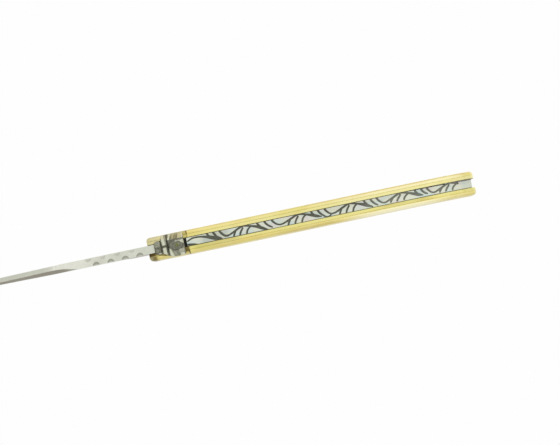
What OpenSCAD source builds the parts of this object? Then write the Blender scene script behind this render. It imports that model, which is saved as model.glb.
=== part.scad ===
// Folding pocket knife with a brass handle, a carved back spring and a bee on the spring's nose.
// It lies on its left side with the blade open. X runs along the knife with the blade towards -X,
// the back faces -Y, the belly faces +Y and Z runs across the handle. The origin is on the
// blade's pivot axis, in the plane that the knife lies on.

/* [Handle] */
// Length of the handle, from the front of the bolsters to the rear end
handle_len = 120; // [112:1:140]
// Distance from the front of the bolsters back to the blade's pivot
pivot_in = 7; // [6:0.25:9]
// Length of each bolster
bolster_len = 14.6; // [13:0.2:18]
// Height of the back above the pivot, along the bolsters
back_front = 9.5; // [9.1:0.1:10.5]
// Height of the back above the pivot, at its shallow dip
back_dip = 9.3; // [8.9:0.1:9.8]
// Height of the back above the pivot, at its hump
back_hump = 10.8; // [10.2:0.1:12]
// Height of the back above the pivot, where the rear end starts to round
back_rear = 7.6; // [7:0.1:8.6]
// Depth of the belly below the pivot, at the front of the bolsters
belly_front = 5.3; // [5:0.1:6]
// Depth of the belly below the pivot, at its fullest
belly_full = 7.6; // [6.8:0.1:9]
// Depth of the belly below the pivot, at its waist
belly_waist = 6.2; // [5.8:0.1:7]
// Depth of the beak below the pivot, at the rear end
beak_depth = 13.2; // [11:0.2:15]
// Radius of the rounded corners at both ends of the handle
end_round = 1.2; // [0.6:0.1:1.5]

/* [Outline of the handle] */
// Distance from the pivot back to the dip of the back
back_dip_at = 28; // [24:1:32]
// Distance from the rear end forward to the hump of the back
back_hump_in = 36; // [32:1:40]
// Distance from the rear end forward to where the back starts to fall
rear_fall_in = 14; // [12:0.5:16]
// How far the back stands above its rear height there
rear_fall = 1.6; // [1:0.1:2]
// Distance from the rear end forward to where the rounding is half done
rear_turn_in = 6; // [5:0.25:7]
// Distance from the rear end forward to the last steep part of the rounding
rear_tuck_in = 2; // [1.5:0.1:2.5]
// Height of the last steep part of the rounding
rear_tuck = 3; // [2:0.1:4]
// How much deeper the belly is behind the bolsters than at their front
belly_swell = 0.5; // [0.2:0.1:1]
// Distance from the pivot back to where the belly is fullest
belly_full_at = 34; // [30:1:38]
// Length over which the belly stays full
belly_full_len = 12; // [8:1:14]
// Distance from the rear end forward to the front of the waist
waist_in = 40; // [36:1:44]
// Length of the waist
waist_len = 14; // [10:1:16]
// Distance from the rear end forward to where the beak grows
beak_in = 12; // [10:0.5:14]
// How far the belly is below its waist there
beak_start = 2.4; // [1.6:0.1:3.2]
// Distance from the rear end forward to the front of the beak's tip
beak_turn_in = 4; // [3.4:0.1:5]
// How far the front of the beak's tip lies above its lowest point
beak_turn = 0.8; // [0.4:0.1:1.2]
// Distance from the rear end forward to the lowest point of the beak
beak_tip_in = 1.5; // [1.3:0.1:2]
// How far the rear corner of the beak lies above its lowest point
beak_tip_rise = 0.4; // [0.2:0.1:0.8]

/* [Sides] */
// Width of the channel between the liners, which is also the back spring's width
channel_w = 3.3; // [2.8:0.1:4]
// Thickness of each liner
liner_t = 1.2; // [0.8:0.1:1.6]
// Thickness of each scale and bolster
scale_t = 1.45; // [1.2:0.05:2]
// How far the rounded edge of a scale reaches in over its face
edge_in = 1.9; // [1:0.1:2.4]
// How far the rounded edge of a scale reaches down its thickness
edge_down = 0.8; // [0.4:0.1:1.1]

/* [Blade] */
// Gap between each side of the blade and its liner
blade_side_gap = 0.15; // [0.05:0.01:0.2]
// Gap between the tip of the folded blade and the rear end of the handle
tip_in = 6; // [5:0.5:9]
// How far the spine of the open blade lies below the back
spine_drop = 0.3; // [0.1:0.1:0.8]
// Height of the spine above the pivot, halfway along the blade
spine_mid = 8.7; // [8.4:0.1:9]
// Height of the tip above the pivot
tip_high = 2.2; // [1.5:0.1:3]
// Height of the blunt end of the tip
tip_h = 0.3; // [0.2:0.05:0.5]
// Length of the thick heel of the blade in front of the bolsters
ricasso_len = 6; // [4:0.5:8]
// Gap between the folded blade's edge and the back spring
edge_gap = 1; // [0.8:0.1:1.4]
// Thickness left at the cutting edge
edge_t = 0.2; // [0.1:0.05:0.4]
// Height of the ground bevel above the cutting edge
grind_h = 8.5; // [6:0.5:9.5]
// Depth of the false edge's two bevels near the tip
false_edge_h = 3.4; // [2:0.2:4]
// Distance from the bolsters to where the false edge starts
false_edge_at = 27; // [22:1:36]
// Length over which the false edge's left bevel grows to its full depth
false_edge_run = 7; // [5:1:12]
// Length over which the right bevel grows, which ends where the left one does
right_bevel_run = 1.6; // [1:0.2:4]
// How far the ridge between the bevels lies off the middle where they meet, towards the left
ridge_off = 0.25; // [0.1:0.05:0.4]

/* [Outline of the blade] */
// Distance from the pivot to the middle of the spine
spine_mid_at = 60; // [56:1:64]
// Distance from the tip back to where the spine starts to fall
clip_in = 27; // [24:1:30]
// Height of the spine above the pivot there
clip_high = 7; // [6.6:0.1:7.4]
// Distance from the tip back to the middle of the falling spine
clip_mid_in = 12; // [10:0.5:14]
// Height of the spine above the pivot there
clip_mid_high = 4.5; // [4:0.1:5]
// Length of the straight heel in front of the bolsters
heel_len = 1.5; // [1:0.1:2]
// Length over which the edge steps up to clear the back spring
edge_step = 1; // [0.8:0.1:1.5]
// Distance from the pivot to the front of the straight edge
edge_mid_at = 45; // [40:1:50]
// Distance from the pivot to the middle of the edge
edge_fore_at = 70; // [66:1:74]
// Distance from the tip back to where the edge starts its curve
edge_curve_in = 24; // [22:0.5:26]
// Distance from the tip back to the middle of that curve
edge_belly_in = 11; // [10:0.5:13]
// Depth of the edge below the pivot there
edge_belly_deep = 2.4; // [2:0.1:2.8]
// Distance from the tip back to the last part of the curve
edge_tip_in = 4; // [3:0.25:5]
// Height of the edge above the pivot there
edge_tip_high = 0.5; // [0.2:0.1:0.8]
// Distance from the pivot to where the blade starts to get thinner
taper_at = 38; // [34:1:44]
// Thickness of the blade at the middle of its spine
blade_mid_t = 2.5; // [2.2:0.05:2.6]
// Distance from the tip back to where the blade's front end starts to close in
thin_end_len = 20; // [16:1:24]
// Thickness of the blade there
blade_fore_t = 2.1; // [1.8:0.05:2.2]
// Half of the tip's thickness
tip_half = 0.15; // [0.12:0.01:0.2]
// Length over which the ground bevel grows in front of the heel
grind_run = 4; // [4:0.5:6]
// Distance from the tip back to where the ground bevel starts to shrink
grind_end_in = 30; // [28:1:34]
// Height of the ground bevel in the middle of the falling spine
grind_tip_h = 3; // [2.4:0.1:3.4]

/* [Spine notches] */
// Number of filed notches on each edge of the spine
notch_count = 4; // [2:1:5]
// Distance from the bolsters to the first notch
notch_first = 3.2; // [3:0.1:5]
// Distance between notches on the same edge
notch_step = 5.3; // [4.6:0.1:5.6]
// Radius of the round file that cut the notches
notch_r = 1.5; // [1.2:0.1:1.8]
// Depth of each notch into the edge of the spine
notch_deep = 0.9; // [0.4:0.05:1]

/* [Tang and pivot] */
// Height from the pivot to the flats of the tang that the spring bears on
tang_flat = 5.5; // [5.2:0.1:5.8]
// Radius of the tang's rounded corners about the pivot
tang_round = 6; // [5.9:0.05:6.3]
// Distance from the pivot forward to the shoulder that the spring's nose meets
shoulder_at = 4.7; // [4.4:0.1:5]
// Diameter of the pivot pin
pivot_d = 3; // [2.4:0.1:3.4]
// Radial clearance of the pivot pin in the tang
pivot_gap = 0.04; // [0.02:0.01:0.08]

/* [Back spring] */
// Gap between the spring's nose and the tang
nose_gap = 0.08; // [0.05:0.01:0.15]
// Depth of the spring at its thinnest, behind the nose
spring_thin = 3.6; // [3.2:0.1:4]
// Depth of the spring at its centre pin
spring_centre = 4.3; // [4:0.1:4.6]
// Depth of the spring at its rear end
spring_rear = 5.2; // [4.6:0.1:5.8]
// Distance from the rear end forward to the spring's rear waist
spring_waist_in = 33; // [30:1:36]
// How much deeper the rear waist is than the thinnest place
spring_waist = 0.5; // [0.2:0.1:0.8]
// Distance from the end pin forward to where the spring has its rear depth
spring_swell_in = 3; // [2:0.5:4]
// How much the spring's depth shrinks at its rear end
spring_end_taper = 0.8; // [0.4:0.1:1.2]
// How far the spring stops short of the rear end
spring_end_in = 1.3; // [0.8:0.1:2]
// Distance from the pivot back to the spring's centre pin
centre_pin_at = 52; // [44:1:58]
// Distance from the rear end forward to the spring's end pin
end_pin_in = 11; // [10:0.5:14]
// Depth of the spring's pins below the back
spring_pin_deep = 2.2; // [2:0.1:2.5]
// Diameter of the spring's centre and end pins
spring_pin_d = 2; // [1.6:0.1:2.2]

/* [Carving on the spring] */
// Length of one wave of the carved vine
wave_len = 18.6; // [16:0.2:20]
// Number of carved waves
wave_count = 5; // [3:1:5]
// Distance from the rear of the bee to the first crest of the vine
first_crest = 4.5; // [4:0.1:6]
// Width of the cut line
line_w = 0.36; // [0.25:0.01:0.45]
// Depth of the cut line
line_deep = 0.25; // [0.1:0.05:0.4]
// Number of short curls on each side of a wave
curl_count = 3; // [2:1:3]

/* [Bee] */
// Length of the bee
bee_len = 10.8; // [9.5:0.1:11.4]
// Width of the bee's head
bee_head_w = 4.8; // [4.2:0.1:5.4]
// Width across the bee's wings
bee_wing_w = 8.3; // [7:0.1:8.4]
// Distance from the bee's front to where its right wing is full
right_wing_at = 3.1; // [2.9:0.1:6]
// Distance from the bee's front to where its left wing is full
left_wing_at = 6.4; // [3.1:0.1:7]
// Height of the bee above the spring
bee_h = 2.7; // [2.2:0.1:3.4]
// Height of the bee's wings above the spring
wing_h = 1.35; // [1:0.05:1.7]
// Gap under the wings, which keeps the bee clear of the bolsters
wing_gap = 0.15; // [0.1:0.05:0.3]

/* [Rivets] */
// Diameter of the rivets that hold the scales
scale_pin_d = 1.6; // [1.2:0.1:2]
// Diameter of the rivets that hold the bolsters
bolster_pin_d = 1.5; // [1.2:0.1:1.8]
// Distance from the pivot back to the bolster rivet
bolster_pin_at = 4; // [3.6:0.1:4.4]
// Depth of the bolster rivet below the pivot
bolster_pin_deep = 2.6; // [2.2:0.1:2.8]
// Distance from the joint of bolster and scale back to the front rivet
front_pin_in = 7; // [5:0.5:12]
// Distance from the centre pin back to the middle rivet
middle_pin_in = 9; // [6:0.5:14]
// Distance from the rear end forward to the rear rivet
rear_pin_in = 16; // [14:0.5:20]

/* [Hidden] */
$fn = 48;
brass = [0.86, 0.76, 0.42];
steel = [0.76, 0.78, 0.76];
dark_steel = [0.42, 0.43, 0.40];

// Distance that a cut runs past the face it opens, and that stacked pieces share
over = 1;
// Half of the channel's width, and the planes on each side of it
channel_z = channel_w / 2;
liner_z = channel_z + liner_t;
side_z = liner_z + scale_t;
half_blade = channel_z - blade_side_gap;
// Places along X
front_x = -pivot_in;
rear_x = handle_len - pivot_in;
joint_x = bolster_len - pivot_in;
spring_x = rear_x - spring_end_in;
blade_reach = rear_x - tip_in;
end_pin_x = rear_x - end_pin_in;
nose_x = -(shoulder_at - nose_gap);
nose_flat_x = shoulder_at + ricasso_len;
bee_rear_x = nose_x + bee_len;
ricasso_x = pivot_in + ricasso_len;
spine_front = back_front - spine_drop;

// A smooth curve through points, which never overshoots between them
function rise(p, i) = (p[i + 1][1] - p[i][1]) / (p[i + 1][0] - p[i][0]);
function slope(p, i) =
    i == 0 ? rise(p, 0)
    : i == len(p) - 1 ? rise(p, i - 1)
    : rise(p, i - 1) * rise(p, i) <= 0 ? 0
    : 2 * rise(p, i - 1) * rise(p, i) / (rise(p, i - 1) + rise(p, i));
function curve(p, x, i = 0) =
    i < len(p) - 2 && x > p[i + 1][0] ? curve(p, x, i + 1)
    : let(run = p[i + 1][0] - p[i][0], f = min(1, max(0, (x - p[i][0]) / run)))
        p[i][1] * (1 + 2 * f) * (1 - f) * (1 - f) + p[i + 1][1] * f * f * (3 - 2 * f)
        + slope(p, i) * run * f * (1 - f) * (1 - f) - slope(p, i + 1) * run * f * f * (1 - f);

// Heights of the back and depths of the belly, along X
back = [[front_x, back_front], [0, back_front], [nose_flat_x, back_front],
    [back_dip_at, back_dip], [centre_pin_at, (back_dip + back_hump) / 2],
    [rear_x - back_hump_in, back_hump], [rear_x - rear_fall_in, back_rear + rear_fall],
    [rear_x - rear_turn_in, back_rear - rear_fall], [rear_x - rear_tuck_in, rear_tuck],
    [rear_x, 0]];
belly = [[front_x, belly_front], [joint_x, belly_front + belly_swell],
    [belly_full_at, belly_full], [belly_full_at + belly_full_len, belly_full],
    [rear_x - waist_in, belly_waist], [rear_x - waist_in + waist_len, belly_waist],
    [rear_x - beak_in, belly_waist + beak_start], [rear_x - beak_turn_in, beak_depth - beak_turn],
    [rear_x - beak_tip_in, beak_depth], [rear_x, beak_depth - beak_tip_rise]];
// How far the rounded ends draw in, at a place along X
function drawn(along) = along >= end_round ? 0 : end_round - sqrt(end_round * end_round
    - (end_round - along) * (end_round - along));
function end_draw(x) = max(drawn(x - front_x), drawn(rear_x - x));
function back_y(x) = -(curve(back, x) - end_draw(x));
function belly_y(x) = curve(belly, x) - end_draw(x);

// Stations along the handle, closer at its rounded ends and at its rear
station = 4;
end_angles = [0, 35, 65, 90];
front_stations = [for (a = end_angles) front_x + end_round * (1 - cos(a))];
mid_stations = [for (x = [front_x + end_round + station : station : rear_x - 14]) x];
late_stations = [for (x = [rear_x - 12 : 2 : rear_x - 1.5 * end_round]) x];
rear_stations = [for (i = [3 : -1 : 0]) rear_x - end_round * (1 - cos(end_angles[i]))];
stations = concat(front_stations, mid_stations, late_stations, rear_stations);

// Depth of the spring, and the height of its inner line above the pivot
nose_depth = back_front - tang_flat - nose_gap;
depth = [[nose_x, nose_depth], [nose_flat_x, nose_depth], [back_dip_at, spring_thin],
    [centre_pin_at, spring_centre], [rear_x - spring_waist_in, spring_thin + spring_waist],
    [end_pin_x - spring_swell_in, spring_rear], [spring_x, spring_rear - spring_end_taper]];
function spring_inner(x) = curve(back, x) - curve(depth, x);

// Heights of the spine and depths of the cutting edge, by distance from the pivot. Folded, the
// edge lies over the spring's inner line.
spine = [[shoulder_at, spine_front], [pivot_in + false_edge_at, spine_front],
    [spine_mid_at, spine_mid], [blade_reach - clip_in, clip_high],
    [blade_reach - clip_mid_in, clip_mid_high], [blade_reach, tip_high]];
function over_spring(x) = spring_inner(x) - edge_gap;
edge = [[shoulder_at, tang_flat - nose_gap], [pivot_in + heel_len, tang_flat - nose_gap],
    [ricasso_x + edge_step, over_spring(ricasso_x)], [edge_mid_at, over_spring(edge_mid_at)],
    [edge_fore_at, over_spring(edge_fore_at)],
    [blade_reach - edge_curve_in, over_spring(blade_reach - edge_curve_in)],
    [blade_reach - edge_belly_in, edge_belly_deep], [blade_reach - edge_tip_in, -edge_tip_high],
    [blade_reach, tip_h - tip_high]];
// How far the notches of the second edge are staggered, as a share of their distance
notch_stagger = 0.5;
// Half the blade's thickness
taper = [[shoulder_at, half_blade], [taper_at, half_blade], [spine_mid_at, blade_mid_t / 2],
    [blade_reach - thin_end_len, blade_fore_t / 2], [blade_reach, tip_half]];
// The false edge: how far the flat of the spine reaches to each side, and each bevel's depth.
// The left bevel takes the flat away as far as the ridge, and then the right one takes the rest.
false_x = pivot_in + false_edge_at;
bevels_meet = false_x + false_edge_run;
ridge_w = 0.15;
function flat_left(d) = let(half = curve(taper, d))
    curve([[false_x, half], [bevels_meet, ridge_off], [spine_mid_at, 2 * ridge_off],
        [blade_reach, tip_half / 2]], d);
function flat_right(d) = let(half = curve(taper, d))
    curve([[bevels_meet - right_bevel_run, half], [bevels_meet, ridge_w - flat_left(d)]], d);
function bevel_depth(d, run) = curve([[bevels_meet - run, 0.15], [bevels_meet, false_edge_h],
    [blade_reach - clip_mid_in, 0.6 * false_edge_h], [blade_reach, 0.03]], d);
grind = [[0, 0.1], [ricasso_x, 0.1], [ricasso_x + grind_run, grind_h],
    [blade_reach - grind_end_in, grind_h * 0.9], [blade_reach - clip_mid_in, grind_tip_h],
    [blade_reach, 0.06]];

function reversed(p) = [for (i = [len(p) - 1 : -1 : 0]) p[i]];

// A closed skin over rings with as many points each. The rings follow each other towards -X,
// and each runs clockwise as seen from +X.
module loft(rings) {
    sides = len(rings[0]);
    last = len(rings) - 1;
    polyhedron(
        points = [for (ring = rings) each ring],
        faces = concat(
            [for (i = [1 : sides - 2]) [0, i, i + 1]],
            [for (i = [1 : sides - 2]) [last * sides, last * sides + i + 1, last * sides + i]],
            [for (k = [0 : last - 1], i = [0 : sides - 1]) let(j = (i + 1) % sides)
                [k * sides + i, (k + 1) * sides + i, (k + 1) * sides + j]],
            [for (k = [0 : last - 1], i = [0 : sides - 1]) let(j = (i + 1) % sides)
                [k * sides + i, (k + 1) * sides + j, k * sides + j]]));
}

// Puts a piece of the right side in place, or its mirror image for the left side
module on_side(side) {
    translate([0, 0, side_z])
        mirror([0, 0, side == "left" ? 1 : 0])
            children();
}

module rivet_hole(at, d) {
    translate([at[0], at[1], -side_z - over])
        cylinder(d = d, h = 2 * (side_z + over));
}

// Places of the rivets and pins
bolster_pin = [bolster_pin_at, bolster_pin_deep];
front_pin = [joint_x + front_pin_in, 1];
middle_pin = [centre_pin_at + middle_pin_in, 1];
rear_pin = [rear_x - rear_pin_in, 1.5];
centre_pin = [centre_pin_at, spring_pin_deep - curve(back, centre_pin_at)];
end_pin = [end_pin_x, spring_pin_deep - curve(back, end_pin_x)];
scale_pins = [front_pin, middle_pin, rear_pin];

module side_holes() {
    rivet_hole([0, 0], pivot_d);
    rivet_hole(centre_pin, spring_pin_d);
    rivet_hole(end_pin, spring_pin_d);
    rivet_hole(bolster_pin, bolster_pin_d);
    for (at = scale_pins)
        rivet_hole(at, scale_pin_d);
}

module liner(side) {
    on_side(side)
        difference() {
            translate([0, 0, channel_z])
                linear_extrude(liner_t)
                    polygon(concat(
                        [for (x = stations) [x, back_y(x)]],
                        [for (x = reversed(stations)) [x, belly_y(x)]]));
            side_holes();
        }
}

// One cross-section of a handle side, with rounded edges towards the back and the belly
function side_ring(x) =
    let(out = scale_t - end_draw(x), down = edge_down * out / scale_t, top = liner_z + out)
    concat(
        [[x, back_y(x), liner_z]],
        [for (a = [0, 35, 65, 90])
            [x, back_y(x) + edge_in * (1 - cos(a)), top - down * (1 - sin(a))]],
        [for (a = [90, 65, 35, 0])
            [x, belly_y(x) - edge_in * (1 - cos(a)), top - down * (1 - sin(a))]],
        [[x, belly_y(x), liner_z]]);

// The part of a handle side between two places along X
module side_piece(side, from, to) {
    on_side(side)
        difference() {
            intersection() {
                loft([for (x = reversed(stations)) side_ring(x)]);
                translate([from, -back_hump - over, liner_z - over])
                    cube([to - from, back_hump + beak_depth + 2 * over, scale_t + 2 * over]);
            }
            side_holes();
        }
}

module bolster(side) {
    color(brass)
        side_piece(side, front_x - over, joint_x);
}

module handle_scale(side) {
    color(brass)
        side_piece(side, joint_x, rear_x + over);
}

// A pin that is peened flush with both sides of the handle
module through_pin(at, d) {
    translate([at[0], at[1], 0])
        cylinder(d = d, h = 2 * side_z);
}

// A rivet through one scale or bolster and its liner
module side_rivet(side, at, d) {
    color(brass)
        on_side(side)
            translate([at[0], at[1], channel_z])
                cylinder(d = d, h = liner_t + scale_t);
}

// One cross-section of the open blade, at a distance from the pivot
function blade_ring(d) =
    let(
        half = curve(taper, d),
        top = -curve(spine, d),
        bottom = curve(edge, d),
        tall = bottom - top,
        left = min(bevel_depth(d, false_edge_run), 0.45 * tall),
        right = min(bevel_depth(d, right_bevel_run), 0.45 * tall),
        ground = min(curve(grind, d), 0.9 * tall - left),
        fine = d > ricasso_x ? min(edge_t / 2, 0.5 * half) : half - 0.1)
    [for (p = [
        [bottom, fine], [bottom, -fine], [bottom - ground, -half], [top + left, -half],
        [top, -flat_left(d)], [top, flat_right(d)], [top + right, half], [bottom - ground, half]])
        [-d, p[0], p[1]]];

blade_stations = concat(
    [shoulder_at, pivot_in + heel_len, ricasso_x - 1, ricasso_x],
    [for (d = [ricasso_x + 1 : 1 : ricasso_x + 4]) d],
    [for (d = [ricasso_x + 8 : 5 : false_x - 1]) d],
    [false_x, (false_x + bevels_meet - right_bevel_run) / 2, bevels_meet - right_bevel_run],
    [bevels_meet - right_bevel_run / 2, bevels_meet, bevels_meet + 2],
    [for (d = [bevels_meet + 6 : 5 : blade_reach - 29]) d],
    [for (d = [blade_reach - 26 : 3 : blade_reach - 5]) d],
    [blade_reach - 3, blade_reach - 1.2, blade_reach]);

// A filed notch across one of the two edges of the spine
module spine_notch(d, edge_side) {
    translate([-d, -spine_front, edge_side * half_blade])
        rotate([-45 * edge_side, 0, 0])
            translate([0, notch_deep - notch_r, -3 * notch_r])
                cylinder(r = notch_r, h = 6 * notch_r);
}

module blade() {
    color(steel)
        translate([0, 0, side_z])
            difference() {
                union() {
                    loft([for (d = blade_stations) blade_ring(d)]);
                    translate([0, 0, -half_blade])
                        linear_extrude(2 * half_blade)
                            intersection() {
                                circle(r = tang_round, $fn = 96);
                                translate([-shoulder_at - over, -tang_flat])
                                    square([shoulder_at + over + tang_flat, 2 * tang_flat - nose_gap]);
                            }
                }
                translate([0, 0, -channel_w])
                    cylinder(d = pivot_d + 2 * pivot_gap, h = 2 * channel_w);
                for (i = [0 : notch_count - 1]) {
                    spine_notch(pivot_in + notch_first + i * notch_step, -1);
                    spine_notch(pivot_in + notch_first + (i + notch_stagger) * notch_step, 1);
                }
            }
}

// The carved vine: a stem that waves from edge to edge, with short curls on its rising and
// falling parts. A place on it is a count of waves along the spring and a share of its half width.
stem = [[0, 0.95], [0.15, 0.72], [0.27, 0.1], [0.4, -0.42], [0.6, -0.8], [0.7, -0.5],
    [0.81, 0.1], [0.9, 0.7], [1, 0.95]];
function stem_at(u) = curve(stem, u - floor(u));
first_x = bee_rear_x + first_crest;
function carved(u, v) = [first_x + u * wave_len, v * channel_z];
function bend(a, b, c, f) = a * (1 - f) * (1 - f) + 2 * b * f * (1 - f) + c * f * f;
stem_line = [for (u = [-0.2 : 0.05 : wave_count + 0.17]) carved(u, stem_at(u))];
// A curl leaves one edge of the spring and ends on the stem further back
curl_step = 0.405 / curl_count;
edge_v = 1.15;
function curl(u, v_side, reach) = [for (f = [0 : 0.2 : 1]) bend(
    carved(u, v_side * edge_v),
    carved(u + 0.01, 0.4 * v_side * edge_v + 0.6 * stem_at(u + reach)),
    carved(u + reach, stem_at(u + reach)), f)];
// The outline of a line of some width along points
function unit(p) = p / norm(p);
function across(p, i) = let(
        a = p[max(0, i - 1)],
        b = p[min(len(p) - 1, i + 1)],
        way = unit(b - a))
    [-way[1], way[0]];
function ribbon(p, w) = concat(
    [for (i = [0 : len(p) - 1]) p[i] + across(p, i) * w / 2],
    [for (i = [len(p) - 1 : -1 : 0]) p[i] - across(p, i) * w / 2]);

module cut_line(p) {
    rotate([90, 0, 0])
        linear_extrude(back_hump + over)
            polygon(ribbon(p, line_w));
}

module vine() {
    cut_line(stem_line);
    for (wave = [0 : wave_count - 1], i = [0 : curl_count - 1]) {
        cut_line(curl(wave + 0.27 + i * curl_step, 1, 0.13));
        cut_line(curl(wave + 0.77 + i * curl_step, -1, 0.11));
    }
}

// Points along the spring's back, dropped by some depth
spring_stations = concat(
    [nose_x, nose_flat_x],
    [for (x = [nose_flat_x + station / 2 : station : end_pin_x - 1]) x],
    [for (x = [end_pin_x + 1 : 2 : spring_x - 1]) x],
    [spring_x]);
function spring_back(drop) = [for (x = spring_stations) [x, drop - curve(back, x)]];

module back_spring() {
    color(steel)
        translate([0, 0, side_z])
            difference() {
                translate([0, 0, -channel_z])
                    linear_extrude(channel_w)
                        polygon(concat(spring_back(0),
                            reversed([for (x = spring_stations) [x, -spring_inner(x)]])));
                intersection() {
                    translate([0, 0, -channel_z - over])
                        linear_extrude(channel_w + 2 * over)
                            polygon(concat(spring_back(-over), reversed(spring_back(line_deep))));
                    vine();
                }
                rivet_hole(centre_pin, spring_pin_d);
                rivet_hole(end_pin, spring_pin_d);
            }
}

// The bee's outline and relief, by the distance from its front and from its middle line
neck_at = 2.8;
waist_at = 4.6;
// How far the bee's foot on the spring lies inside the spring's edges
bee_foot_in = 0.25;
function bee_outline(wing_at) = [[0, 0.6 * bee_head_w / 2], [0.5, 0.93 * bee_head_w / 2],
    [1.2, bee_head_w / 2], [2.4, bee_head_w / 2], [wing_at, bee_wing_w / 2],
    [bee_len - 0.6, bee_wing_w / 2], [bee_len, 0.93 * bee_wing_w / 2]];
function bee_side(q, side) = curve(bee_outline(side < 0 ? left_wing_at : right_wing_at), q);
function dome(q, z, at, long, wide, high) =
    high * sqrt(max(0, 1 - pow((q - at) / long, 2) - pow(z / wide, 2)));
function cut_across(q, at, wide, deep) = deep * max(0, 1 - abs(q - at) / wide);
function bee_rise(q, z) =
    let(
        rim = min(1, 0.55 + (bee_side(q, z) - abs(z)) / 1.2),
        plate = (q > waist_at ? wing_h : 0.8 * wing_h) * rim,
        head = dome(q, z, 1.5, 1.9, 0.56 * bee_head_w, 0.72 * bee_h),
        chest = dome(q, z, 3.9, 1.5, 0.62 * bee_head_w, 0.8 * bee_h),
        tail = dome(q, z, bee_len - 2.9, 3.2, 0.29 * bee_wing_w, bee_h))
    max(plate, head, chest, tail) - cut_across(q, neck_at, 0.4, 0.45)
        - cut_across(q, waist_at, 0.5, 0.5);
bee_stations = concat([0, 0.2, 0.6, 1.2, 1.8],
    [neck_at - 0.4, neck_at, neck_at + 0.4, 3.8, waist_at - 0.5, waist_at, waist_at + 0.5],
    [for (q = [5.6 : 0.8 : bee_len - 0.5]) q],
    [bee_len]);
bee_across = [-1, -0.88, -0.7, -0.5, -0.35, -0.18, 0, 0.18, 0.35, 0.5, 0.7, 0.88, 1];
function bee_ring(q) =
    let(x = nose_x + q, zs = [for (s = bee_across) s * bee_side(q, s)])
    concat(
        [[x, -back_front - wing_gap, -bee_side(q, -1)]],
        [for (z = zs) [x, -back_front - wing_gap - bee_rise(q, z), z]],
        [[x, -back_front - wing_gap, bee_side(q, 1)]]);

module bee() {
    color(dark_steel)
        translate([0, 0, side_z]) {
            loft([for (q = reversed(bee_stations)) bee_ring(q)]);
            translate([nose_x + bee_foot_in, -back_front - 2 * wing_gap, -channel_z + bee_foot_in])
                cube([bee_len - 2 * bee_foot_in, 2 * wing_gap, channel_w - 2 * bee_foot_in]);
        }
}

blade();
back_spring();
bee();
color(brass) liner("left");  // left_liner
color(brass) liner("right");  // right_liner
bolster("left");  // left_bolster
bolster("right");  // right_bolster
handle_scale("left");  // left_scale
handle_scale("right");  // right_scale
color(steel) through_pin([0, 0], pivot_d);  // pivot_pin
color(steel) through_pin(centre_pin, spring_pin_d);  // spring_centre_pin
color(steel) through_pin(end_pin, spring_pin_d);  // spring_end_pin
side_rivet("left", bolster_pin, bolster_pin_d);  // left_bolster_rivet
side_rivet("right", bolster_pin, bolster_pin_d);  // right_bolster_rivet
side_rivet("left", front_pin, scale_pin_d);  // left_front_rivet
side_rivet("left", middle_pin, scale_pin_d);  // left_middle_rivet
side_rivet("left", rear_pin, scale_pin_d);  // left_rear_rivet
side_rivet("right", front_pin, scale_pin_d);  // right_front_rivet
side_rivet("right", middle_pin, scale_pin_d);  // right_middle_rivet
side_rivet("right", rear_pin, scale_pin_d);  // right_rear_rivet
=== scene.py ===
"""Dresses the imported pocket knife: fine meshes, metal finishes, a pale stage and the camera."""
import math

import bmesh
import bpy
import numpy as np
from mathutils import Matrix, Vector


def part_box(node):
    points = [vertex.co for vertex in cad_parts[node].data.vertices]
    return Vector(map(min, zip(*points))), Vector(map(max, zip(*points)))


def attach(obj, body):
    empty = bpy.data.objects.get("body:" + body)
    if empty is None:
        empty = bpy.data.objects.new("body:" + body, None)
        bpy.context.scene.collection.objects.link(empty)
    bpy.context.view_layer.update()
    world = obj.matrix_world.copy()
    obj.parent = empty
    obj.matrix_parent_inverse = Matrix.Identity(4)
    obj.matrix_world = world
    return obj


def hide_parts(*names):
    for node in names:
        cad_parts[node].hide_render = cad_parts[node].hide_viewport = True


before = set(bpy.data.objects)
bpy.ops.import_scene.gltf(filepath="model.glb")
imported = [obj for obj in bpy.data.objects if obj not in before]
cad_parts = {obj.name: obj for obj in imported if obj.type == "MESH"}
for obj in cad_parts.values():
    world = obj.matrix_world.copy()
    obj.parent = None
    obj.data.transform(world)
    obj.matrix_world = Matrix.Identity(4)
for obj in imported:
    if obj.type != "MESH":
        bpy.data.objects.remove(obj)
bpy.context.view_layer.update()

scene = bpy.context.scene
scene.view_settings.view_transform = "Standard"

# Sizes are in millimetres, and the meshes are made in metres
MM = 0.001


def box_mm(node):
    """The lowest and highest corners of a CAD node, in millimetres."""
    return np.array(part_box(node)) / MM


# ---- Sizes from the frame ----
(front_x, _, _), (rear_x, _, thick) = box_mm("right_liner")[0], box_mm("right_scale")[1]
side_z = thick / 2
joint_x = box_mm("left_bolster")[1][0]
liner_z = box_mm("right_liner")[1][2] - side_z
channel_z = box_mm("right_liner")[0][2] - side_z
scale_t = side_z - liner_z
(nose_x, _, _), (spring_x, _, _) = box_mm("back_spring")
(bee_x, bee_top, _), (bee_rear_x, _, _) = box_mm("bee")
blade_low, blade_high = box_mm("blade")
tip_at = -blade_low[0]
half_blade = blade_high[2] - side_z

# ---- Sizes that the part's source gives too ----
# _at is a distance from the pivot, and _in a distance back from an end
# The handle
pivot_in = -front_x
back_front, back_dip, back_hump, back_rear = 9.5, 9.3, 10.8, 7.6
back_dip_at, back_hump_in, rear_fall_in, rear_fall = 28, 36, 14, 1.6
rear_turn_in, rear_tuck_in, rear_tuck = 6, 2, 3
belly_front, belly_swell, belly_full, belly_waist = 5.3, 0.5, 7.6, 6.2
belly_full_at, belly_full_len, waist_in, waist_len = 34, 12, 40, 14
beak_depth, beak_in, beak_start = 13.2, 12, 2.4
beak_turn_in, beak_turn, beak_tip_in, beak_tip_rise = 4, 0.8, 1.5, 0.4
end_round, edge_in, edge_down = 1.2, 1.9, 0.8
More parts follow.
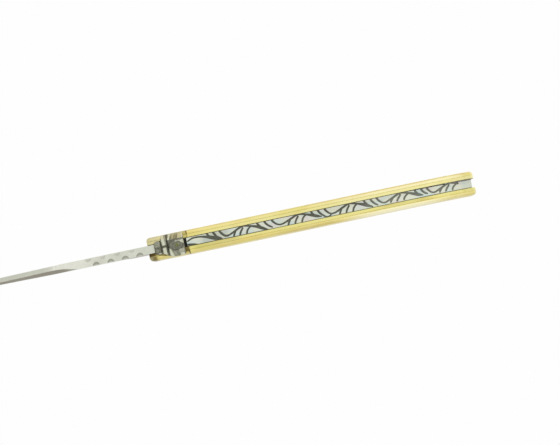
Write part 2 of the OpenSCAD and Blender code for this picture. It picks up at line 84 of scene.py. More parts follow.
# The spring, the pins and the rivets
nose_flat_x, nose_gap, spring_thin, spring_centre, spring_rear = 10.7, 0.08, 3.6, 4.3, 5.2
spring_waist_in, spring_waist, spring_swell_in, spring_end = 33, 4.1, 3, 4.4
centre_pin_x, end_pin_x, spring_pin_deep = 52, rear_x - 11, 2.2
bolster_pin_at, bolster_pin_deep = 4, 2.6
front_pin_in, middle_pin_in, rear_pin_in = 7, 9, 16
pivot_r, pivot_gap, spring_pin_r, bolster_pin_r, scale_pin_r = 1.5, 0.04, 1, 0.75, 0.8
wave_len, wave_count, first_crest, line_deep = 18.6, 5, 4.5, 0.25
# The bee
bee_head_w, bee_wing_w, wing_h, wing_gap = 4.8, 8.3, 1.35, 0.15
right_wing_at, left_wing_at, bee_foot_in = 3.1, 6.4, 0.25
# The blade
tang_flat, tang_round, shoulder_at, heel_len, ricasso_x = 5.5, 6, 4.7, 1.5, 13
notch_count, notch_first, notch_step, notch_stagger = 4, 3.2, 5.3, 0.5
notch_r, notch_deep = 1.5, 0.9
spine_drop, spine_mid_at, spine_mid, clip_in, clip_high = 0.3, 60, 8.7, 27, 7
clip_mid_in, clip_mid_high, tip_high, tip_low = 12, 4.5, 2.2, 1.9
edge_gap, edge_step, edge_mid_at, edge_fore_at, edge_curve_in = 1, 1, 45, 70, 24
edge_belly_in, edge_belly_deep, edge_tip_in, edge_tip_high = 11, 2.4, 4, 0.5
taper_at, mid_half, thin_end_len, fore_half, tip_half = 38, 1.25, 20, 1.05, 0.15
grind_h, grind_run, grind_end_in, grind_tip_h, edge_t = 8.5, 4, 30, 3, 0.2
false_x, false_edge_h, left_bevel_run, right_bevel_run = 34, 3.4, 7, 1.6
ridge_off, ridge_w = 0.25, 0.15


# ---- Sizes that only the scene has ----
broken = 0.1  # width of a finely broken edge
pin_rim = 0.08  # the same on a pin or rivet
hairline = 0.03  # how much wider a hole is than its pin or rivet
seam = 0.15  # width of the chamfer where a bolster meets its scale
fine_step = 0.09  # distance of the rings where a surface is carved
weld = 0.0004  # points that are nearer to each other become one
SHARP_DEG = 32  # edges that are sharper than this stay hard


def monotone(points):
    """A smooth curve through points, which never overshoots them."""
    px, py = np.array(points, float).T
    rise = np.diff(py) / np.diff(px)
    tilt = np.zeros(len(px))
    tilt[0], tilt[-1] = rise[0], rise[-1]
    same = rise[:-1] * rise[1:] > 0
    total = np.where(same, rise[:-1] + rise[1:], 1)
    tilt[1:-1] = np.where(same, 2 * rise[:-1] * rise[1:] / total, 0)

    def at(x):
        x = np.clip(x, px[0], px[-1])
        i = np.clip(np.searchsorted(px, x, side="right") - 1, 0, len(px) - 2)
        run = px[i + 1] - px[i]
        f = (x - px[i]) / run
        return (py[i] * (1 + 2 * f) * (1 - f) ** 2 + py[i + 1] * f * f * (3 - 2 * f)
                + tilt[i] * run * f * (1 - f) ** 2 - tilt[i + 1] * run * f * f * (1 - f))

    return at


def smooth(f):
    """From 0 to 1 without a corner, as f goes from 0 to 1."""
    f = np.clip(f, 0, 1)
    return f * f * (3 - 2 * f)


def within(value, low, high, soft=0.15):
    """1 between two values and 0 outside them, over a soft edge."""
    return smooth((value - low) / soft) * smooth((high - value) / soft)


def most(*values):
    """The largest of several values."""
    return np.maximum.reduce(values)


# ---- The outlines of the handle, the spring and the blade ----
back = monotone([
    (front_x, back_front), (0, back_front), (nose_flat_x, back_front), (back_dip_at, back_dip),
    (centre_pin_x, (back_dip + back_hump) / 2), (rear_x - back_hump_in, back_hump),
    (rear_x - rear_fall_in, back_rear + rear_fall),
    (rear_x - rear_turn_in, back_rear - rear_fall), (rear_x - rear_tuck_in, rear_tuck),
    (rear_x, 0)])
belly = monotone([
    (front_x, belly_front), (joint_x, belly_front + belly_swell), (belly_full_at, belly_full),
    (belly_full_at + belly_full_len, belly_full), (rear_x - waist_in, belly_waist),
    (rear_x - waist_in + waist_len, belly_waist), (rear_x - beak_in, belly_waist + beak_start),
    (rear_x - beak_turn_in, beak_depth - beak_turn), (rear_x - beak_tip_in, beak_depth),
    (rear_x, beak_depth - beak_tip_rise)])
spring_depth = monotone([
    (nose_x, back_front - tang_flat - nose_gap), (nose_flat_x, back_front - tang_flat - nose_gap),
    (back_dip_at, spring_thin), (centre_pin_x, spring_centre),
    (rear_x - spring_waist_in, spring_waist), (end_pin_x - spring_swell_in, spring_rear),
    (spring_x, spring_end)])


def drawn(along, radius):
    """How far a rounded end draws in, at a distance from that end."""
    along = np.clip(along, 0, radius)
    return radius - np.sqrt(radius ** 2 - (radius - along) ** 2)


def end_draw(x):
    """How far the handle's rounded ends draw in at x."""
    return np.maximum(drawn(x - front_x, end_round), drawn(rear_x - x, end_round))


def back_y(x):
    """The handle's outer line along its back."""
    return -(back(x) - end_draw(x))


def belly_y(x):
    """The handle's outer line along its belly."""
    return belly(x) - end_draw(x)


def over_spring(x):
    """Depth of the cutting edge where the folded blade lies over the spring."""
    return back(x) - spring_depth(x) - edge_gap


# Height of the spine, depth of the edge and half the thickness, by distance from the pivot
spine_front = back_front - spine_drop
spine = monotone([
    (shoulder_at, spine_front), (false_x, spine_front), (spine_mid_at, spine_mid),
    (tip_at - clip_in, clip_high), (tip_at - clip_mid_in, clip_mid_high),
    (tip_at, tip_high)])
edge = monotone([
    (shoulder_at, tang_flat - nose_gap), (pivot_in + heel_len, tang_flat - nose_gap),
    (ricasso_x + edge_step, over_spring(ricasso_x)), (edge_mid_at, over_spring(edge_mid_at)),
    (edge_fore_at, over_spring(edge_fore_at)),
    (tip_at - edge_curve_in, over_spring(tip_at - edge_curve_in)),
    (tip_at - edge_belly_in, edge_belly_deep), (tip_at - edge_tip_in, -edge_tip_high),
    (tip_at, -tip_low)])
taper = monotone([
    (shoulder_at, half_blade), (taper_at, half_blade), (spine_mid_at, mid_half),
    (tip_at - thin_end_len, fore_half), (tip_at, tip_half)])
bevels_meet = false_x + left_bevel_run
false_taper = 1.6  # length of the false edge's thin start
false_start, false_run = false_x - false_taper, left_bevel_run + false_taper


def flat_left(d):
    """How far the spine's flat reaches to the left, and then the false edge's ridge."""
    return monotone([(false_start, taper(d)), (bevels_meet, ridge_off),
                     (spine_mid_at, 2 * ridge_off), (tip_at, tip_half / 2)])(d)


def flat_right(d):
    """How far the spine's flat reaches to the right, down to the ridge's width."""
    return monotone([(bevels_meet - right_bevel_run, taper(d)),
                     (bevels_meet, ridge_w - flat_left(d))])(d)


def bevel_depth(d, run):
    """Depth of a bevel of the false edge, which grows to its full depth over a run."""
    return monotone([(bevels_meet - run, 0.15), (bevels_meet, false_edge_h),
                     (tip_at - clip_mid_in, 0.6 * false_edge_h), (tip_at, 0.03)])(d)


# Height of the ground faces over the cutting edge
grind = monotone([
    (0, broken), (ricasso_x, broken), (ricasso_x + grind_run, grind_h),
    (tip_at - grind_end_in, grind_h * 0.9), (tip_at - clip_mid_in, grind_tip_h),
    (tip_at, 0.06)])

# Places of the pins and rivets, and their radii
pins = [
    ((0, 0), pivot_r),
    ((centre_pin_x, spring_pin_deep - back(centre_pin_x)), spring_pin_r),
    ((end_pin_x, spring_pin_deep - back(end_pin_x)), spring_pin_r),
    ((bolster_pin_at, bolster_pin_deep), bolster_pin_r),
    ((joint_x + front_pin_in, 1), scale_pin_r),
    ((centre_pin_x + middle_pin_in, 1), scale_pin_r),
    ((rear_x - rear_pin_in, 1.5), scale_pin_r)]


# ---- Node materials ----
def srgb(red, green, blue):
    """A colour as a screen shows it, from 0 to 255, as Blender's linear values."""
    def linear(v):
        v /= 255
        return v / 12.92 if v <= 0.04045 else ((v + 0.055) / 1.055) ** 2.4
    return (linear(red), linear(green), linear(blue), 1)


class Nodes:
    """Builds the node tree of a material or a world."""

    def __init__(self, name, kind="materials"):
        self.data = getattr(bpy.data, kind).new(name)
        self.data.use_nodes = True
        self.tree = self.data.node_tree
        self.shader = self.tree.nodes.get("Principled BSDF")

    def add(self, kind, output=None, inputs=None, **settings):
        """A new node, or the output of it that is named."""
        made = self.tree.nodes.new("ShaderNode" + kind)
        for name, value in settings.items():
            setattr(made, name, value)
        for socket, value in (inputs or {}).items():
            self.set(made, socket, value)
        return made if output is None else made.outputs[output]

    def set(self, made, socket, value):
        """Links an input to another node's output, or sets its value."""
        if isinstance(value, bpy.types.NodeSocket):
            self.tree.links.new(value, made.inputs[socket])
        else:
            made.inputs[socket].default_value = value

    def noise(self, scale, stretch=(1, 1, 1), detail=4, roughness=0.6):
        """Noise with scale cells to the millimetre, longer along an axis with a low stretch."""
        place = self.add("TexCoord", "Object")
        size = tuple(s * scale / MM for s in stretch)
        place = self.add("Mapping", "Vector", {"Vector": place, "Scale": size})
        return self.add("TexNoise", "Fac", {"Vector": place, "Scale": 1.0, "Detail": detail,
                                            "Roughness": roughness})

    def attribute(self, name):
        """What paint has stored under a name."""
        return self.add("Attribute", "Fac", attribute_name=name)

    def spread(self, value, low, high, to_low=0.0, to_high=1.0):
        """Value from low to high becomes to_low to to_high."""
        limits = {"Value": value, "From Min": low, "From Max": high, "To Min": to_low,
                  "To Max": to_high}
        return self.add("MapRange", "Result", limits, interpolation_type="SMOOTHSTEP")

    def mix(self, share, first, second, blend="MIX"):
        """A colour from the first at share 0 to the second at share 1."""
        return self.add("Mix", 2, {0: share, 6: first, 7: second}, data_type="RGBA",
                        blend_type=blend)

    def layers(self, color, *over):
        """A colour with others laid over it, each by its share."""
        for share, tint in over:
            color = self.mix(share, color, tint)
        return color

    def times(self, a, b, operation="MULTIPLY"):
        """Two values multiplied, or joined by another operation."""
        return self.add("Math", "Value", {0: a, 1: b}, operation=operation)

    def choose(self, share, first, second):
        """The first shader where share is 0, the second where it is 1."""
        return self.add("MixShader", "Shader", {0: share, 1: first, 2: second})

    def bump(self, height, strength, distance_mm):
        """Fine relief on the whole surface."""
        relief = {"Strength": strength, "Distance": distance_mm * MM, "Height": height}
        self.set(self.shader, "Normal", self.add("Bump", "Normal", relief))

    def finish(self, color, roughness, metallic=1.0):
        """The finished material."""
        self.set(self.shader, "Base Color", color)
        self.set(self.shader, "Roughness", roughness)
        self.set(self.shader, "Metallic", metallic)
        return self.data


def brass(name, light, warm, tarnish_and_rim_shade, roughness=0.36):
    """Brass, brushed lengthwise, warmer in long streaks, with tarnish and painted shade on its
    rims, a painted highlight, and dirt mixed with painted shade.
    """
    n = Nodes(name)
    broad = n.attribute("broad")  # the broad outer faces are brushed more evenly
    even = n.spread(broad, 0, 1, 1, 0.25)
    brushed = n.noise(7, (0.03, 1, 1), detail=5)
    streaks = n.noise(0.55, (0.12, 1, 1), detail=3)
    cloud = n.noise(0.16)
    lemon = n.spread(n.noise(0.3, (0.25, 1, 1), detail=2), 0.5, 0.75, 0, 0.6)
    hairs = n.spread(n.noise(5, (0.01, 1, 1), detail=6), 0.38, 0.66, 0.05, 0.32)
    rim = n.times(n.attribute("rim"), n.spread(n.noise(0.9, (0.25, 1, 1)), 0.25, 0.6))
    color = n.layers(
        light,
        (n.times(n.spread(streaks, 0.42, 0.72), even), warm),
        (n.times(lemon, even), srgb(230, 226, 128)),
        (n.times(hairs, broad), tarnish_and_rim_shade),
        (n.spread(cloud, 0.5, 0.8, 0, 0.35), warm),
        (n.spread(brushed, 0.3, 0.7, 0.16, 0), tarnish_and_rim_shade),
        # tarnish and painted shade on the rounded rims and ends
        (n.spread(rim, 0, 1, 0, 0.85), tarnish_and_rim_shade),
        # painted highlight: pale brass
        (n.attribute("painted_highlight"), srgb(254, 248, 208)),
        # painted shade: duller brass on the bolsters' fronts
        (n.attribute("front_shade"), srgb(166, 158, 122)),
        # dark dirt in the joint, with painted shade and painted shadow beside and behind the bee
        (n.attribute("dirt_and_shade"), srgb(84, 62, 24)))
    n.bump(brushed, 0.35, 0.01)
    return n.finish(color, n.spread(brushed, 0.3, 0.7, roughness - 0.06, roughness + 0.1))


def spring_steel():
    """Polished spring steel with blackened cuts, and painted shade and shadow along its edges and
    in the recess.
    """
    n = Nodes("carved_spring_steel")
    brushed = n.noise(6, (0.06, 1, 1), detail=4)
    cool = n.spread(n.noise(0.5, (0.4, 1, 1)), 0.4, 0.7)
    pink = n.spread(n.noise(0.35, (0.6, 1, 1)), 0.5, 0.72, 0, 0.8)
    cut = n.attribute("cut")
    black = n.mix(n.spread(n.noise(3), 0.4, 0.7), srgb(90, 93, 80), srgb(116, 115, 100))
    color = n.layers(
        srgb(222, 225, 206), (cool, srgb(202, 217, 212)), (pink, srgb(220, 210, 208)),
        # cut holds the blackened cuts, with painted shade on the edges and in the recess
        (n.spread(brushed, 0.35, 0.7, 0, 0.12), srgb(120, 128, 122)), (cut, black),
        # painted shadow, the blackest: in the recess and the rear gap
        (n.attribute("gap_shadow"), srgb(30, 34, 22)))
    n.bump(brushed, 0.3, 0.008)
    return n.finish(color, n.spread(cut, 0, 1, 0.3, 0.62), n.spread(cut, 0, 1, 1, 0.35))


def bee_steel():
    """Blackened steel that is worn bright on its high places."""
    n = Nodes("blackened_bee_steel")
    mottle = n.noise(1.5, detail=5, roughness=0.7)
    grain = n.noise(5)
    dark = n.mix(n.spread(mottle, 0.35, 0.65), srgb(110, 112, 98), srgb(154, 153, 137))
    worn = n.times(n.attribute("worn"), n.spread(grain, 0.2, 0.5, 0.8, 1))
    color = n.mix(worn, dark, srgb(228, 231, 208))
    color = n.mix(n.attribute("stained"), color, srgb(243, 226, 190), "MULTIPLY")
    color = n.layers(color, (n.attribute("green"), srgb(134, 137, 62)),
                     (n.attribute("cut"), srgb(98, 100, 82)))
    n.bump(mottle, 0.4, 0.03)
    return n.finish(color, n.spread(worn, 0, 1, 0.5, 0.42), 0.8)


def blade_steel():
    """Satin steel, ground across the blade, with painted shade in the notches, on the false edge
    and on the fore part.
    """
    n = Nodes("satin_blade_steel")
    ground = n.noise(7, (1, 0.04, 0.3), detail=5)
    bands = n.noise(0.3, (1, 0.1, 1))
    color = n.layers(
        srgb(236, 237, 226),
        (n.spread(bands, 0.35, 0.7, 0.15, 0.65), srgb(220, 223, 208)),
        (n.spread(ground, 0.35, 0.7, 0, 0.18), srgb(150, 152, 144)),
        (n.attribute("green"), srgb(120, 150, 112)),
        (n.attribute("shade"), srgb(124, 115, 95)),
        # painted shade in the notches
        (n.attribute("cut"), srgb(160, 162, 147)))
    n.bump(ground, 0.25, 0.008)
    return n.finish(color, n.spread(ground, 0.3, 0.7, 0.24, 0.38))


def pin_metal(name, light, dark):
    """A peened pin's end, with fine scratches and a darker rim."""
    n = Nodes(name)
    scratch = n.noise(6, (0.15, 1, 1), detail=4)
    color = n.mix(n.spread(scratch, 0.4, 0.75, 0, 0.5), light, dark)
    n.bump(n.noise(4), 0.2, 0.01)
    return n.finish(color, n.spread(scratch, 0.3, 0.7, 0.28, 0.42))


materials = {
    "scale": brass("brushed_scale_brass", srgb(240, 229, 152), srgb(232, 212, 128),
                   srgb(204, 174, 116)),
    "bolster": brass("polished_bolster_brass", srgb(234, 224, 150), srgb(224, 206, 128),
                     srgb(186, 156, 98), 0.34),
    "liner": brass("brushed_liner_brass", srgb(238, 230, 152), srgb(226, 212, 126),
                   srgb(196, 180, 112)),
    "pin": pin_metal("peened_pin_steel", srgb(205, 206, 198), srgb(130, 130, 124)),
    "rivet": pin_metal("peened_rivet_brass", srgb(226, 198, 118), srgb(160, 128, 70)),
    "spring": spring_steel(), "bee": bee_steel(), "blade": blade_steel()}


# ---- Mesh helpers ----
def add_object(name, data):
    """A new object in the scene."""
    obj = bpy.data.objects.new(name, data)
    scene.collection.objects.link(obj)
    return obj


def loft(rings):
    """Corners and faces of a closed skin over rings of equally many (x, y, z) points."""
    rings = np.array(rings, float)
    count, sides = rings.shape[:2]
    edges = [(i, (i + 1) % sides) for i in range(sides)]
    faces = [(k + i, k + j, k + sides + j, k + sides + i)
             for k in range(0, (count - 1) * sides, sides) for i, j in edges]
    faces += [tuple(range(sides)), tuple(range((count - 1) * sides, count * sides))]
    return rings.reshape(-1, 3), faces


def ring_over(x, y, z, base):
    """A ring of (y, z) points at one x, closed by two corners at its base."""
    return np.column_stack([np.full(len(z) + 2, x), [*y, base, base], [*z, z[-1], z[0]]])


def piece(name, shells, material, body, stands_for, sharp_deg=SHARP_DEG):
    """A smooth piece from closed shells of corners (mm, z from the middle plane)."""
    mesh = bpy.data.meshes.new(name)
    corners, faces = [], []
    for points, polygons in shells:
        faces += [tuple(len(corners) + i for i in polygon) for polygon in polygons]
        corners += [(x * MM, y * MM, (z + side_z) * MM) for x, y, z in points]
    mesh.from_pydata(corners, [], faces)
    obj = add_object(name, mesh)
    tidy(mesh, sharp_deg)
    mesh.materials.append(material)
    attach(obj, body)
    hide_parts(*stands_for)
    return obj


def tidy(mesh, sharp_deg):
    """Faces outward, welded, smooth except at edges sharper than an angle."""
    b = bmesh.new()
    b.from_mesh(mesh)
    bmesh.ops.remove_doubles(b, verts=b.verts, dist=weld * MM)
    bmesh.ops.recalc_face_normals(b, faces=b.faces)
    for f in b.faces:
        f.smooth = True
    for e in b.edges:
        if len(e.link_faces) == 2 and e.calc_face_angle(0) > math.radians(sharp_deg):
            e.smooth = False
    b.to_mesh(mesh)
    b.free()


def bore(obj, holes, sharp_deg=SHARP_DEG):
    """Cuts round holes across the handle: (place, radius) in millimetres."""
    cutter_mesh = bpy.data.meshes.new("cutter")
    b = bmesh.new()
    for (x, y), radius in holes:
        place = Matrix.Translation((x * MM, y * MM, side_z * MM))
        bmesh.ops.create_cone(b, cap_ends=True, segments=48, radius1=radius * MM,
                              radius2=radius * MM, depth=4 * side_z * MM, matrix=place)
    b.to_mesh(cutter_mesh)
    b.free()
    cutter = add_object("cutter", cutter_mesh)
    cut = obj.modifiers.new("holes", "BOOLEAN")
    cut.operation, cut.solver, cut.object = "DIFFERENCE", "EXACT", cutter
    bpy.context.view_layer.update()
    made = bpy.data.meshes.new_from_object(
        obj.evaluated_get(bpy.context.evaluated_depsgraph_get()))
    obj.modifiers.clear()
    obj.data = made
    bpy.data.objects.remove(cutter)
    tidy(made, sharp_deg)


def paint(obj, looks, domain="POINT"):
    """Stores looks[name](x, y, z) by point or face, in mm, with z from the middle plane."""
    mesh = obj.data
    places = ([v.co for v in mesh.vertices] if domain == "POINT" else
              [f.center for f in mesh.polygons])
    x, y, z = np.array(places).T / MM
    for name, value_at in looks.items():
        values = value_at(x, y, z - side_z)
        layer = mesh.attributes.new(name, "FLOAT", domain)
        layer.data.foreach_set("value", np.clip(values, 0, 1).astype(np.float32))


# ---- The handle's sides ----
quarter = np.radians(np.linspace(0, 90, 9))
flat_steps = 4


def stations(start, end):
    """Places along X, closer at the handle's rounded ends and at the joint."""
    arc = end_round * (1 - np.cos(quarter))
    x = np.concatenate([np.arange(start, end), [start, end], front_x + arc, rear_x - arc,
                        joint_x + seam * np.arange(-3, 4),
                        [front_x + 1.8, front_x + 2.4, bee_rear_x - 0.6, bee_rear_x - 0.1]])
    return np.unique(np.round(x[(x >= start) & (x <= end)], 4))


def side_ring(x):
    """One cross-section of a scale or bolster, from the liner's face outward."""
    chamfer = drawn(abs(x - joint_x), seam)
    out = scale_t - end_draw(x) - chamfer
    down = edge_down * out / scale_t
    top = liner_z + out
    low, high = back_y(x) + chamfer, belly_y(x) - chamfer
    rounding = edge_in * (1 - np.cos(quarter))
    z_round = top - down * (1 - np.sin(quarter))
    z_flat = np.linspace(liner_z, z_round[0], flat_steps + 1)[:-1]
    y = np.concatenate([np.full(flat_steps, low), low + rounding,
                        np.linspace(low + edge_in, high - edge_in, flat_steps + 2)[1:-1],
                        (high - rounding)[::-1], [high]])
    z = np.concatenate([z_flat, z_round, np.full(flat_steps, top), z_round[::-1], [liner_z]])
    return np.column_stack([np.full(len(y), x), y, z])


def near_rim(x, y, z):
    """How near a place is to the rounded rims of a handle side's outer face."""
    outward = (abs(z) - (side_z - edge_down)) / edge_down
    inward = np.minimum(y - back_y(x), belly_y(x) - y) / edge_in
    return smooth(outward) * smooth(1.15 - np.clip(inward, 0, 1))


def rim_shade_at(x, y, z):
    """Painted shade, mottled like tarnish, on the rounded rims and at the rounded ends, more on
    the right.
    """
    ends = np.minimum(x - front_x, rear_x - x) / end_round
    side_share = np.where(z > 0, 0.75, 0.5)
    return side_share * near_rim(x, y, z) + 0.4 * smooth(1 - ends)


def broad_at(x, y, z):
    """1 on the broad outer faces, 0 on the rounded rims and the narrow sides."""
    inside = np.minimum(y - back_y(x), belly_y(x) - y) - edge_in
    return smooth(1 + inside / 0.5) * (abs(z) > side_z - 0.2)


def near_back(x, y, depth=1.6):
    """Whether a place lies less than a depth under the handle's back."""
    return y < back_y(x) + depth


def painted_highlight_at(x, y, z):
    """Painted highlight, pale brass: towards the rear, and on the front of the right bolster."""
    right = np.maximum(0.6 * smooth((x - 44) / 36), 0.13 * within(x, 20, 44, 7))
    right = right * smooth((side_z - 0.25 - z) / 0.5) * (1 - 0.45 * smooth((3.1 - z) / 0.5))
    left = smooth((x - 60) / 16) * smooth((side_z - 1.5 + z) / -0.7)
    left = left * smooth(1.2 - (y - back_y(x)) / 8) * (1 - 0.75 * smooth((x - 92) / 12))
    front = 0.45 * smooth((1 - x) / 2) * near_back(x, y)
    return np.where(z > 0, np.maximum(right, front), left) * smooth((rear_x - 2 - x) / 5)


def front_shade_at(x, y, z):
    """Painted shade, duller brass on the bolsters' fronts: evenly on the right, at the very end
    on the left.
    """
    front_shade = np.where(z > 0, 0.4 * smooth((-0.5 - x) / 3), 0.9 * smooth((-4.6 - x) / 1.2))
    return front_shade * near_back(x, y)


def bee_edge_shadow(x, z):
    """Painted shadow on the left bolster and liner, along the edge of the bee."""
    outline = 2.3 + 0.28 * (x + 3.7)
    along = smooth((x + 5.2) / 0.7) * smooth(0.4 - x)
    return 0.9 * (z < 0) * smooth(1.5 - abs(-z - outline) / 0.3) * along


def browned(x, y, z):
    """A little browner brass on the left: behind the joint, and in two strips."""
    front = 0.17 * within(x, joint_x, 28, 4) * smooth((4.3 + z) / 1.5)
    outer = 0.09 * within(x, 36, 64, 6) * smooth((-2.8 - z) / 0.4)
    inner = 0.1 * within(x, 74, 98, 6) * smooth((z + 3.1) / 0.3)
    return most(front, outer, inner) * (z < 0) * near_back(x, y)


def joint_line(x):
    """1 on the seam between bolster and scale."""
    return smooth(1.2 - abs(x - joint_x) / 0.24)


def behind_bee(x):
    """1 between the bee and the joint."""
    return smooth((x - bee_rear_x + 0.6) / 0.5) * (x < joint_x)


def dirt_and_shade_at(x, y, z):
    """Dark dirt in the joint, painted shadow beside and behind the bee, and painted shade on the
    left bolster's front.
    """
    # painted shade in the gap at the left bolster's front
    front = 0.75 * (z < 0) * smooth((x + 6.4) / 1.2) * smooth(-3.7 - x)
    # painted shadow behind the bee, darker on the left
    left = 0.85 - 0.75 * smooth((-z - 3) / 0.9)
    behind = behind_bee(x) * near_back(x, y, 3) * np.where(z < 0, left, 0.3)
    return most(0.95 * joint_line(x), behind, front, browned(x, y, z),
                bee_edge_shadow(x, z) * near_back(x, y, 1))


def side_piece(name, side, sign, start, end):
    """A scale or a bolster, from rings along X."""
    rings = [side_ring(x) * (1, 1, sign) for x in stations(start, end)]
    obj = piece(f"{side}_{name}_body", [loft(rings)], materials[name], "handle",
                [f"{side}_{name}"])
    bore(obj, [h for h in holes if start < h[0][0] < end])
    paint(obj, {"rim": rim_shade_at, "broad": broad_at, "painted_highlight": painted_highlight_at, "front_shade": front_shade_at,
                "dirt_and_shade": dirt_and_shade_at})


def liner(side, sign):
    """One liner, a plate with finely broken edges."""
    def ring(x):
        low, high = back_y(x), belly_y(x)
        outline = [(low, channel_z + broken), (low, channel_z + 0.35), (low, liner_z - 0.35),
                   (low, liner_z - broken), (low + broken, liner_z),
                   (high - broken, liner_z), (high, liner_z - broken), (high, channel_z + broken),
                   (high - broken, channel_z), (low + broken, channel_z)]
        return [(x, y, sign * z) for y, z in outline]

    obj = piece(f"{side}_liner_plate", [loft([ring(x) for x in stations(front_x, rear_x)])],
                materials["liner"], "handle", [f"{side}_liner"])
    bore(obj, holes)
    paint(obj, {"rim": liner_rim_shade, "painted_highlight": liner_painted_highlight, "front_shade": front_shade_at, "dirt_and_shade": liner_dirt_and_shade})


def liner_rim_shade(x, y, z):
    """Painted shade, mottled like tarnish, along the edges beside the bolsters and scales."""
    return 0.3 * smooth((abs(z) - liner_z + 0.2) / 0.2)


def liner_painted_highlight(x, y, z):
    """Painted highlight, pale brass on the right liner: the rear, the front half and the very
    front.
    """
    return (z > 0) * most(0.28 * smooth((x - 40) / 30), 0.13 * within(x, 16, 60, 7),
                          0.4 * smooth((1 - x) / 2))


def gap_shade_share(x, z):
    """The share of painted shade on the spring's edges and the channel walls: little on the left,
    behind the first waves.
    """
    return np.where(z < 0, 1 - 0.8 * smooth((x - 35.5) / 5), 1 - 0.2 * within(x, 56, 86, 5))


def liner_dirt_and_shade(x, y, z):
    """Painted shade along the channel and on the left front, dark dirt in the joint, and painted
    shadow beside and behind the bee.
    """
    # painted shade in the channel between the liners
    inner = (0.6 + 0.4 * smooth((x - 82) / 12)) * (abs(z) < channel_z + 0.05) * gap_shade_share(x, z)
    front = 0.95 * (z < 0) * smooth((-3.6 - x) / 1.2) * (abs(z) < liner_z - 0.15)
    behind = behind_bee(x) * np.where(z < 0, 0.85, 0.25)
    return most(inner, front, 0.65 * joint_line(x), behind, browned(x, y, z), bee_edge_shadow(x, z))


holes = [(at, r + hairline) for at, r in pins]
for side, sign in (("left", -1), ("right", 1)):
    side_piece("bolster", side, sign, front_x, joint_x)
    side_piece("scale", side, sign, joint_x, rear_x)
    liner(side, sign)

for name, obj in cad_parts.items():
    kind = name.split("_")[-1]
    if kind in ("pin", "rivet"):
        obj.data.materials.clear()
        obj.data.materials.append(materials[kind])
        rim = obj.modifiers.new("broken_rim", "BEVEL")
        rim.width, rim.segments = pin_rim * MM, 2
        rim.limit_method, rim.angle_limit = "ANGLE", math.radians(40)

# ---- The carved back spring ----
first_x = bee_rear_x + first_crest
vine_end_x = first_x + (wave_count + 0.17) * wave_len
# The hand-cut waves are uneven. How far each crest is off its even place, in millimetres, how far
# each wave's upper curls are off theirs, in waves, and how far its falling part reaches:
crest_off = monotone([(-1, 0), (0, 0), (1, -1.2), (2, 0.4), (3, 0.4), (4, 0.5), (5, -0.2),
                      (6, -0.2)])
curls_off = [-0.025, 0, -0.01, 0.02, 0.02]
fall_deep = [1.35, 1.5, 0.85, 1.15, 0.75]
# The strands of one wave, from crest to crest. Each point is a share of the wave along the
# spring, a share of its half width across it, and half the cut's width in millimetres.
falling = [(0, 0.94, 0.28), (0.08, 0.74, 0.3), (0.16, 0.48, 0.34), (0.24, 0.16, 0.48),
           (0.32, -0.22, 0.52), (0.42, -0.64, 0.12)]
upper_curls = [
    [(0.25, 1.15, 0.4), (0.265, 0.6, 0.34), (0.3, 0.1, 0.28)],
    [(0.38, 1.15, 0.42), (0.4, 0.5, 0.36), (0.445, -0.15, 0.32), (0.5, -0.62, 0.2)]]
rising = [(0.505, 1.15, 0.42), (0.53, 0.5, 0.35), (0.575, -0.1, 0.29), (0.63, -0.42, 0.26),
          (0.69, -0.38, 0.27), (0.76, -0.08, 0.3), (0.85, 0.35, 0.33), (0.93, 0.74, 0.31),
          (1, 0.94, 0.26)]
lower_curls = [
    [(0.775, -1.1, 0.28), (0.79, -0.55, 0.32), (0.825, 0.1, 0.3)],
    [(0.9, -1.1, 0.3), (0.925, -0.35, 0.31), (0.98, 0.5, 0.26)],
    [(1.035, -1.1, 0.3), (1.055, -0.35, 0.3), (1.1, 0.25, 0.24), (1.15, 0.5, 0.16)]]
# The middle wave's second upper curl runs on along the left edge, to the rising strand
run_on = [(0.47, -0.58, 0.22), (0.51, -0.82, 0.2), (0.56, -0.9, 0.2), (0.61, -0.62, 0.22)]
# Behind the bee, half a wave over a cut along the left edge, and the broadest falling part
opening = [[(-0.17, 0.12, 0.22), (-0.1, 0.45, 0.25), (-0.04, 0.6, 0.27), (0.085, 0.52, 0.28),
            (0.2, 0.24, 0.4)],
           [(-0.17, -0.62, 0.34), (-0.07, -0.8, 0.32), (0.02, -1, 0.1)],
           [(0.2, 0.24, 0.4), (0.25, 0.1, 0.56), (0.33, -0.22, 0.66), (0.42, -0.6, 0.5),
            (0.52, -0.92, 0.3)],
           [(0.37, 0.75, 0.4), (0.39, 0.3, 0.44), (0.42, -0.2, 0.4), (0.5, -0.7, 0.3)],
           [(0.52, 0.5, 0.34), (0.56, 0, 0.38), (0.6, -0.35, 0.36), (0.66, -0.5, 0.26)]]


def through(points):
    """A smooth line through points, seven steps from each to the next."""
    p = np.array(points, float)
    p = np.vstack([2 * p[0] - p[1], p, 2 * p[-1] - p[-2]])
    f = np.linspace(0, 1, 7, endpoint=False)[:, None]
    parts = [0.5 * (2 * b + (c - a) * f + (2 * a - 5 * b + 4 * c - d) * f ** 2
                    + (3 * b - a - 3 * c + d) * f ** 3)
             for a, b, c, d in zip(p, p[1:], p[2:], p[3:])]
    return np.vstack(parts + [p[-2:-1]])


def strand(points, wave, off=0):
    """A cut line in millimetres, and its half widths."""
    u, v, half = through(points).T
    u = u + wave + off
    return np.column_stack([first_x + u * wave_len + crest_off(u), v * channel_z]), half


def shortened(points, reach):
    """A strand whose points on the left keep a share of their distance from the middle."""
    return [(u, v * reach if v < 0 else v, half) for u, v, half in points]


